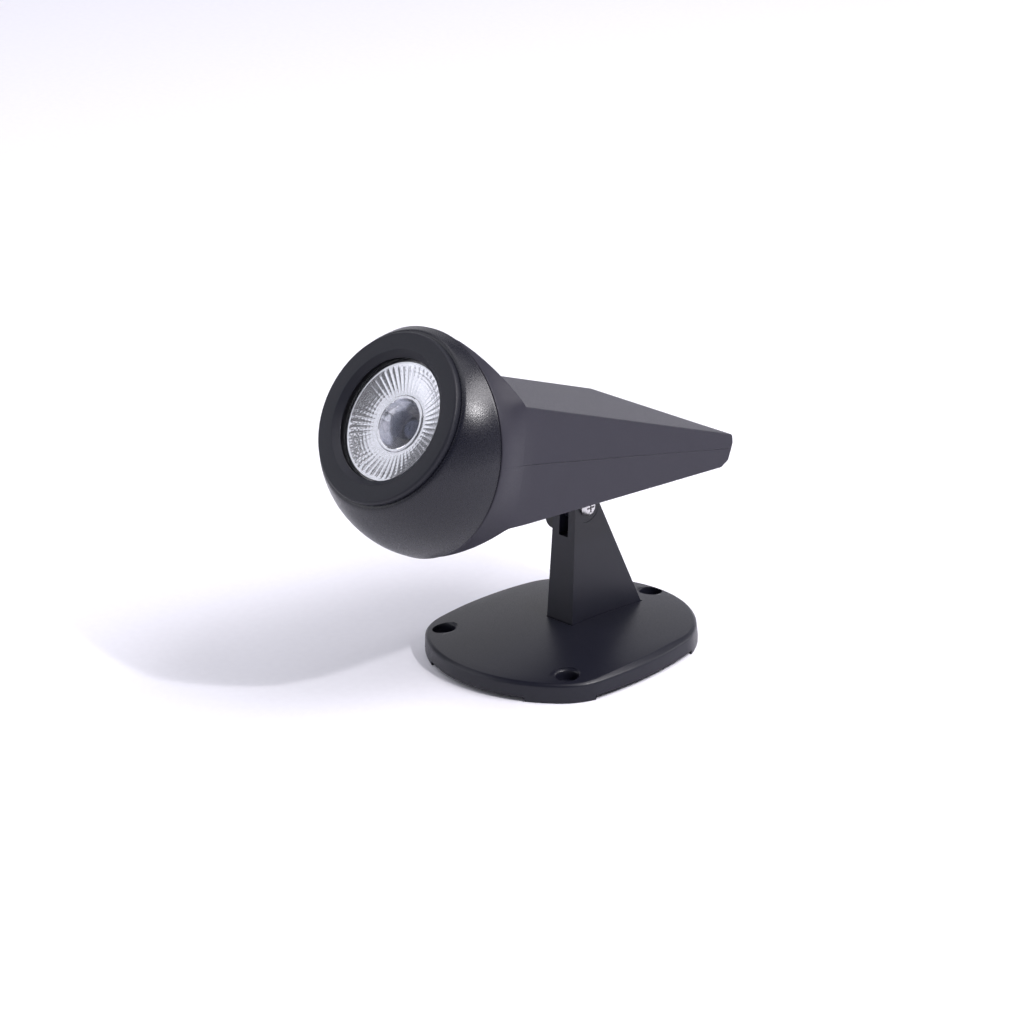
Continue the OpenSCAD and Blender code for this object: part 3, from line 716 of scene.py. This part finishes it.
def build_body():
    """The two halves of the wedge body, the lower one with its screw wells and the gland's hole."""
    top = build_shell("upper_body_shell", True)
    place(top, "head", "body_plastic", "upper_shell")
    bottom = build_shell("lower_body_shell", False)
    well = rounded([(AXIS_R, -6, 0), (WELL_MOUTH_R, -6, 0), (WELL_R + 0.25, -0.1, 0), (WELL_R, 0.3, 0),
                    (WELL_R, WELL_D, 0), (AXIS_R, WELL_D, 0)])
    wells = [lathe("well", well, head_frame() @ Matrix.Translation((x, s, -under(s))), 48)
             for x, s in SCREW_POSTS]
    hole = ((AXIS_R, -5), (GLAND_HOLE_R, -5), (GLAND_HOLE_R, 6), (AXIS_R, 6))
    cut(bottom, *wells, lathe("gland_hole", hole, underside_frame(0, GLAND_S), 48))
    place(bottom, "head", "body_plastic", "lower_shell")


# ---- base ----------------------------------------------------------------------------------------
BASE_DISCS = {  # middle and radius of the outline's three long arcs, the side one for the right side
    "front": ((0.0, -9.6), 64.0),
    "side": ((-92.7, -22.6), 144.0),
    "back": ((0.0, -10.0), 52.0),
}
BASE_CORNER_R = 26.0
BASE_FLOOR, BASE_RIM = 2.0, 7.6
DOME_TOP, DOME_R, DOME_Y = 12.8, 370.0, -17.0
SCREW_HOLES = [m for m in frame["record"]["mounts"] if m["name"].startswith("screw_hole")]
HOLE_R, COUNTERBORE_Z = (SCREW_HOLES[0]["dims"][key] for key in ("r_mm", "length_mm"))
COUNTERBORE_R = 4.9
STAND_PLAY = 0.15
STAND_SCREWS_Y = (-10.0, 13.0)
STAND_SCREW_R, STAND_HEAD_R, STAND_HEAD_D = 1.7, 3.6, 3.0


def discs_meet(first, second, back):
    """Point on the right where two discs of BASE_DISCS, drawn in by the corner radius, cross."""
    (c1, r1), (c2, r2) = BASE_DISCS[first], BASE_DISCS[second]
    c1, c2, r1, r2 = Vector(c1), Vector(c2), r1 - BASE_CORNER_R, r2 - BASE_CORNER_R
    gap = (c2 - c1).length
    along = (r1 * r1 - r2 * r2 + gap * gap) / (2 * gap)
    off = math.sqrt(r1 * r1 - along * along)
    way = (c2 - c1) / gap
    square = Vector((-way.y, way.x)) * off
    ends = [c1 + way * along + square, c1 + way * along - square]
    return max(ends, key=lambda p: (p.x > 0) * 1000 + (p.y if back else -p.y))


def base_outline():
    """The plate's outline, right half then left half, as (point, outward normal)."""
    front_corner = discs_meet("front", "side", False)
    back_corner = discs_meet("side", "back", True)

    def bearing(name, p):
        x, y = BASE_DISCS[name][0]
        return math.atan2(p.y - y, p.x - x)

    marks = [-math.pi / 2, bearing("front", front_corner), bearing("side", front_corner),
             bearing("side", back_corner), bearing("back", back_corner), math.pi / 2]
    arcs = [(*BASE_DISCS["front"], 14), (front_corner, BASE_CORNER_R, 16), (*BASE_DISCS["side"], 16),
            (back_corner, BASE_CORNER_R, 12), (*BASE_DISCS["back"], 12)]
    half = []
    for (centre, radius, steps), start, end in zip(arcs, marks, marks[1:]):
        for k in range(steps):
            a = start + (end - start) * k / steps
            n = Vector((math.cos(a), math.sin(a)))
            half.append((Vector(centre) + n * radius, n))
    back, radius = BASE_DISCS["back"]
    half.append((Vector((0, back[1] + radius)), Vector((0, 1))))
    left = [(Vector((-p.x, p.y)), Vector((-n.x, n.y))) for p, n in reversed(half[1:-1])]
    return half + left


def dome_z(x, y):
    """Height of the plate's domed top."""
    return DOME_TOP - DOME_R + math.sqrt(DOME_R ** 2 - x * x - (y - DOME_Y) ** 2)


def rim_profile(p, n):
    """Rounded profile across the rim at an outline point, as (distance out, height)."""
    low, high = 0.0, 1.0
    for _ in range(30):
        t = (low + high) / 2
        out, z = -0.5 - 2.5 * t, BASE_RIM + 1.9 * t
        at = p + n * out
        if z < dome_z(at.x, at.y):
            low = t
        else:
            high = t
    inner = p + n * (out - 5)
    corners = [(-1.2, 0, 0), (-0.15, 0, 0.5), (-0.1, 2, 0), (-0.5, BASE_RIM, 1.6), (out, z, 1.1),
               (out - 5, dome_z(inner.x, inner.y), 0)]
    return rounded(corners, closed=False, steps=4)


def prism(name, outline, low, high):
    """Upright prism over an outline of (x, y) points."""
    n = len(outline)
    points = [(p[0], p[1], z) for z in (low, high) for p in outline]
    faces = grid_faces(2, n) + [tuple(range(n)), tuple(range(n, 2 * n))]
    return make(name, points, faces)


def solid_plate():
    """The plate before it is cut: rings across the rim, then rings that close in over the dome."""
    outline = base_outline()
    columns = [rim_profile(p, n) for p, n in outline]
    rings = len(columns[0])
    points = []
    for k in range(rings):
        for (p, n), column in zip(outline, columns):
            at = p + n * column[k].x
            points.append((at.x, at.y, column[k].y))
    centre = Vector((0, DOME_Y))
    edge = [p + n * column[-1].x for (p, n), column in zip(outline, columns)]
    shares = [0.86, 0.7, 0.54, 0.38, 0.22, 0.08]
    for share in shares:
        for p in edge:
            at = centre + (p - centre) * share
            points.append((at.x, at.y, dome_z(at.x, at.y)))
    n = len(outline)
    rows = rings + len(shares)
    faces = grid_faces(rows, n) + [tuple(range(n)), tuple(range((rows - 1) * n, rows * n))]
    return make("base_plate_moulding", points, faces, sharp=40)


def foot_gap():
    """Cutter that leaves three feet and a pad under the stand's screws."""
    front, back, pad_x, pad_y, foot_x, far = -46, 13, 11, -19.5, 28, 100
    right = [(foot_x, -far, 0), (foot_x, front, 3), (far, front, 0), (far, back, 0), (pad_x, back, 2),
             (pad_x, pad_y, 3)]
    left = [(-x, y, r) for x, y, r in reversed(right)]
    return prism("foot_gap", rounded(right + left), -1, BASE_FLOOR)


def fixing_hole(x, y):
    """Cutter for a counterbored hole with a rounded mouth."""
    mouth = dome_z(x, y)
    profile = [(AXIS_R, -1), (HOLE_R, -1), (HOLE_R, COUNTERBORE_Z - 0.3), (HOLE_R + 0.3, COUNTERBORE_Z),
               (COUNTERBORE_R, COUNTERBORE_Z), (COUNTERBORE_R, mouth - 0.55),
               (COUNTERBORE_R + 0.12, mouth - 0.28), (COUNTERBORE_R + 0.45, mouth + 0.02),
               (COUNTERBORE_R + 1.2, mouth + 0.4), (COUNTERBORE_R + 1.2, mouth + 4), (AXIS_R, mouth + 4)]
    return lathe("hole", profile, Matrix.Translation((x, y, 0)), 64)


def stand_pocket():
    """Cutter for the pocket that the stand's foot sits in."""
    low, high = node_box("stand")
    x0, x1 = low.x - STAND_PLAY, high.x + STAND_PLAY
    y0, y1 = low.y - STAND_PLAY, high.y + STAND_PLAY
    return prism("stand_pocket", [(x0, y0), (x1, y0), (x1, y1), (x0, y1)], low.z, 30)


def stand_screw_hole(y):
    """Cutter for a screw that goes up into the stand."""
    head_top = BASE_FLOOR + STAND_HEAD_D
    profile = [(AXIS_R, -1), (STAND_HEAD_R, -1), (STAND_HEAD_R, head_top), (STAND_SCREW_R, head_top),
               (STAND_SCREW_R, 20), (AXIS_R, 20)]
    return lathe("screw_hole", profile, Matrix.Translation((0, y, 0)), 40)


def build_base():
    plate = solid_plate()
    holes = [fixing_hole(m["pos_m"][0] / MM, m["pos_m"][1] / MM) for m in SCREW_HOLES]
    cut(plate, foot_gap(), *holes, stand_pocket(), *[stand_screw_hole(y) for y in STAND_SCREWS_Y])
    shade(plate, 40)
    place(plate, "base", "base_paint", "base_plate")


# ---- stand and fittings --------------------------------------------------------------------------
FITTINGS = [  # CAD node, piece, body, slot, edge radius
    ("stand", "stand_post", "base", "base_paint", 0.55),
    ("tilt_lug", "tilt_lug_eye", "head", "base_paint", 0.4),
    ("pivot_screw", "pan_head_screw", "base", "steel", 0.22),
    ("wing_nut", "wing_nut_grip", "wing_nut", "black_nylon", 0.5),
    ("cable_gland", "gland_body", "head", "black_nylon", 0.3),
    ("gland_cap", "gland_nut", "head", "black_nylon", 0.35),
]


def build_fittings():
    for node, name, body, slot, radius in FITTINGS:
        place(rounded_copy(node, name, radius), body, slot, node)


# ---- stage, lights and camera --------------------------------------------------------------------
FLOOR_HALF = 8.0
HORIZON, ZENITH = (0.76, 0.76, 0.82), (0.12, 0.12, 0.13)


def area_light(name, position, target, size, power, color):
    """A rectangular light, in metres and watts, that faces its target."""
    light = bpy.data.lights.new(name, "AREA")
    light.shape, light.size, light.size_y = "RECTANGLE", size[0], size[1]
    light.energy, light.color = power, color
    obj = bpy.data.objects.new(name, light)
    obj.location = position
    obj.rotation_mode = "QUATERNION"
    obj.rotation_quaternion = (Vector(target) - Vector(position)).to_track_quat("-Z", "Y")
    bpy.context.scene.collection.objects.link(obj)


def build_stage():
    """A wide sheet of pale paper."""
    mesh = bpy.data.meshes.new("floor")
    corners = [(x * FLOOR_HALF, y * FLOOR_HALF, 0) for x, y in ((-1, -1), (1, -1), (1, 1), (-1, 1))]
    mesh.from_pydata(corners, [], [(0, 1, 2, 3)])
    floor = bpy.data.objects.new("floor", mesh)
    bpy.context.scene.collection.objects.link(floor)
    mat, tree, shader = new_material("floor_paper", Roughness=0.9, Specular_IOR_Level=0.1)
    fibre = add_noise(tree, 300.0)
    vary_color(tree, shader, fibre, (0.3, (0.88, 0.875, 0.93)), (0.7, (0.9, 0.895, 0.95)))
    mesh.materials.append(mat)


def build_world():
    """A pale horizon under a dim ceiling."""
    world = bpy.data.worlds.new("studio")
    bpy.context.scene.world = world
    world.use_nodes = True
    tree = world.node_tree
    direction = tree.nodes.new("ShaderNodeTexCoord")
    height = tree.nodes.new("ShaderNodeSeparateXYZ")
    tree.links.new(direction.outputs["Generated"], height.inputs["Vector"])
    add_ramp(tree, height.outputs["Z"], tree.nodes["Background"].inputs["Color"],
             [(0.0, HORIZON), (0.1, HORIZON), (0.24, ZENITH)])


LIGHTS = [  # name, place from the ball's centre, (width, height), watts, colour
    ("key", (1.5, 0.25, 1.3), (0.07, 0.07), 14.0, (1.0, 0.98, 1.0)),
    ("side_box", (0.88, 0.46, 1.1), (1.0, 0.62), 19.5, (1.0, 0.97, 1.0)),
    ("backdrop", (-1.36, 1.27, 0.95), (2.4, 1.5), 7.8, (0.97, 0.96, 1.0)),
    ("left_box", (-1.02, -0.88, 0.66), (1.3, 1.3), 7.4, (0.93, 0.94, 1.0)),
    ("rim_strip", (0.5, 1.35, 0.42), (0.9, 0.3), 3.5, (1.0, 0.98, 1.0)),
]


def build_lights():
    aim = BALL * MM
    for name, offset, size, power, color in LIGHTS:
        area_light(name, aim + Vector(offset), aim, size, power, color)
    area_light("top_box", (-0.2, -0.1, 2.2), (0, 0, 0), (2.2, 2.2), 25.0, (0.97, 0.96, 1.0))


CAMERA_AZIMUTH, CAMERA_ELEVATION, CAMERA_ROLL = 47.08, 22.08, -2.43
CAMERA_DISTANCE = 2.042
CAMERA_LENS, CAMERA_SENSOR = 173.7, 36.0
CAMERA_AIM = Vector((0, -0.0433, 0.06966))


def build_camera():
    """The camera, at the angle that shows the lamp's face and its right side."""
    a, e = math.radians(CAMERA_AZIMUTH), math.radians(CAMERA_ELEVATION)
    back = Vector((math.sin(a) * math.cos(e), -math.cos(a) * math.cos(e), math.sin(e)))
    data = bpy.data.cameras.new("camera")
    data.lens, data.sensor_width = CAMERA_LENS, CAMERA_SENSOR
    data.clip_start, data.clip_end = 0.05, 50.0
    cam = bpy.data.objects.new("camera", data)
    bpy.context.scene.collection.objects.link(cam)
    cam.location = CAMERA_AIM + back * CAMERA_DISTANCE
    cam.rotation_mode = "QUATERNION"
    facing = (-back).to_track_quat("-Z", "Y")
    roll = Matrix.Rotation(math.radians(CAMERA_ROLL), 3, "Z").to_quaternion()
    cam.rotation_quaternion = facing @ roll
    bpy.context.scene.camera = cam


# ---- CAD nodes that keep their own shape ---------------------------------------------------------
def dress_cad_nodes():
    """Gives every CAD node the material of its slot."""
    for part in frame["record"]["subparts"]:
        obj = NODES[part["node"]]
        obj.data.materials.clear()
        obj.data.materials.append(MATERIALS[part["material_slot"]])


bpy.context.scene.view_settings.view_transform = "Standard"
build_camera()
dress_cad_nodes()
build_cap()
build_bezel()
build_glass()
build_reflector()
build_capsule()
build_body()
build_base()
build_fittings()
build_stage()
build_world()
build_lights()
